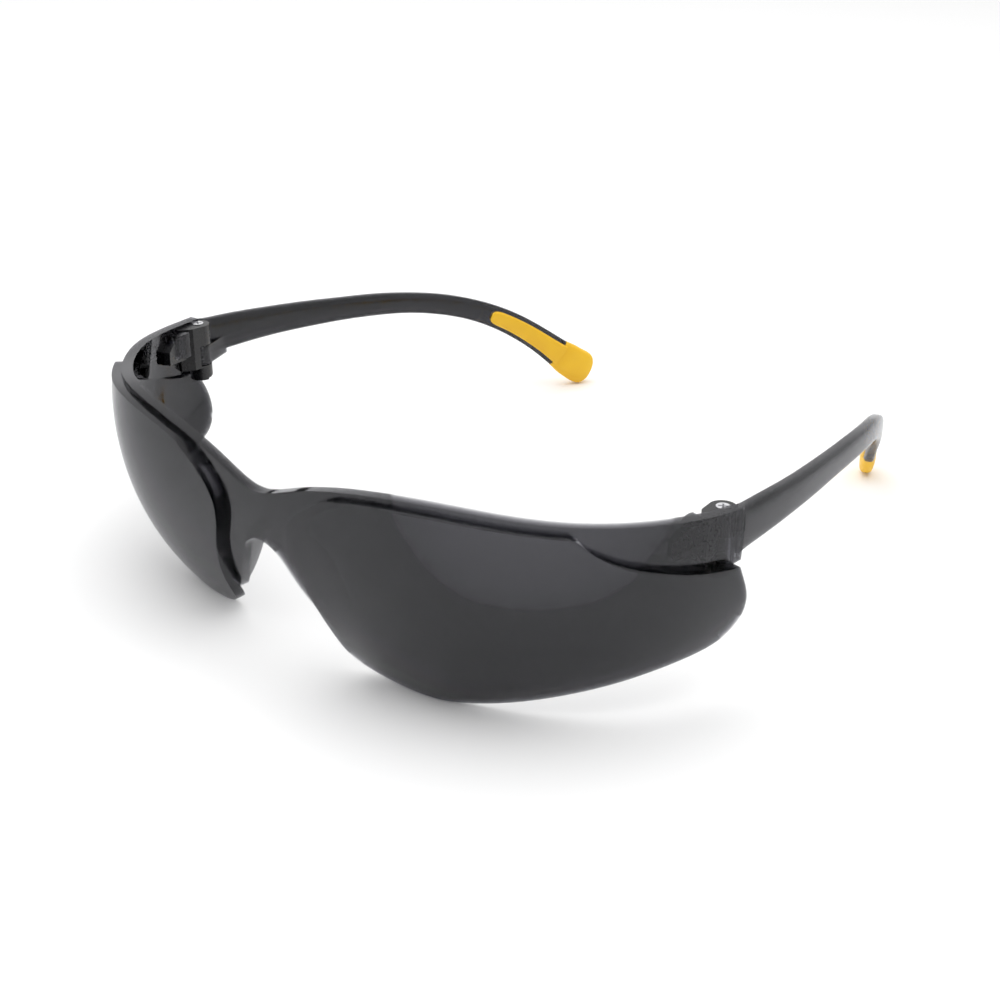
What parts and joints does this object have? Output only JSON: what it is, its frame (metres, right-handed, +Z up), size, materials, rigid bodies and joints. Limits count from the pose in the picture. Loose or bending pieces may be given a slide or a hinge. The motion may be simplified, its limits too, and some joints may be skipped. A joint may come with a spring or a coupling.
{
  "type": "safety glasses",
  "caption": "Wrap-around safety glasses with a one-piece smoke lens, folding arms on screwed hinges and soft rubber arm tips.",
  "frame": {"origin": "middle of the footprint, on the surface the glasses stand on", "axes": "+X to the wearer's left, +Y from the lens back along the arms, +Z up"},
  "size_m": [0.1482, 0.1566, 0.0435],
  "materials": {
    "smoke_lens": "gloss",
    "smoke_temple": "gloss",
    "hinge_nylon": "satin",
    "screw_steel": "polished",
    "tip_rubber": "matte"
  },
  "bodies": {
    "front": {"lens": "smoke_lens", "left_hinge_block": "hinge_nylon", "right_hinge_block": "hinge_nylon", "left_hinge_screw": "screw_steel", "right_hinge_screw": "screw_steel"},
    "left_arm": {"left_temple": "smoke_temple", "left_temple_tip": "tip_rubber"},
    "right_arm": {"right_temple": "smoke_temple", "right_temple_tip": "tip_rubber"}
  },
  "joints": [
    {"name": "left_arm_hinge", "type": "hinge", "parent": "front", "child": "left_arm", "pos_m": [0.069, -0.03217, 0.0317], "axis": [0, 0, 1], "range_deg": [0, 84]},
    {"name": "right_arm_hinge", "type": "hinge", "parent": "front", "child": "right_arm", "pos_m": [-0.069, -0.03217, 0.0317], "axis": [0, 0, -1], "range_deg": [0, 74]}
  ]
}
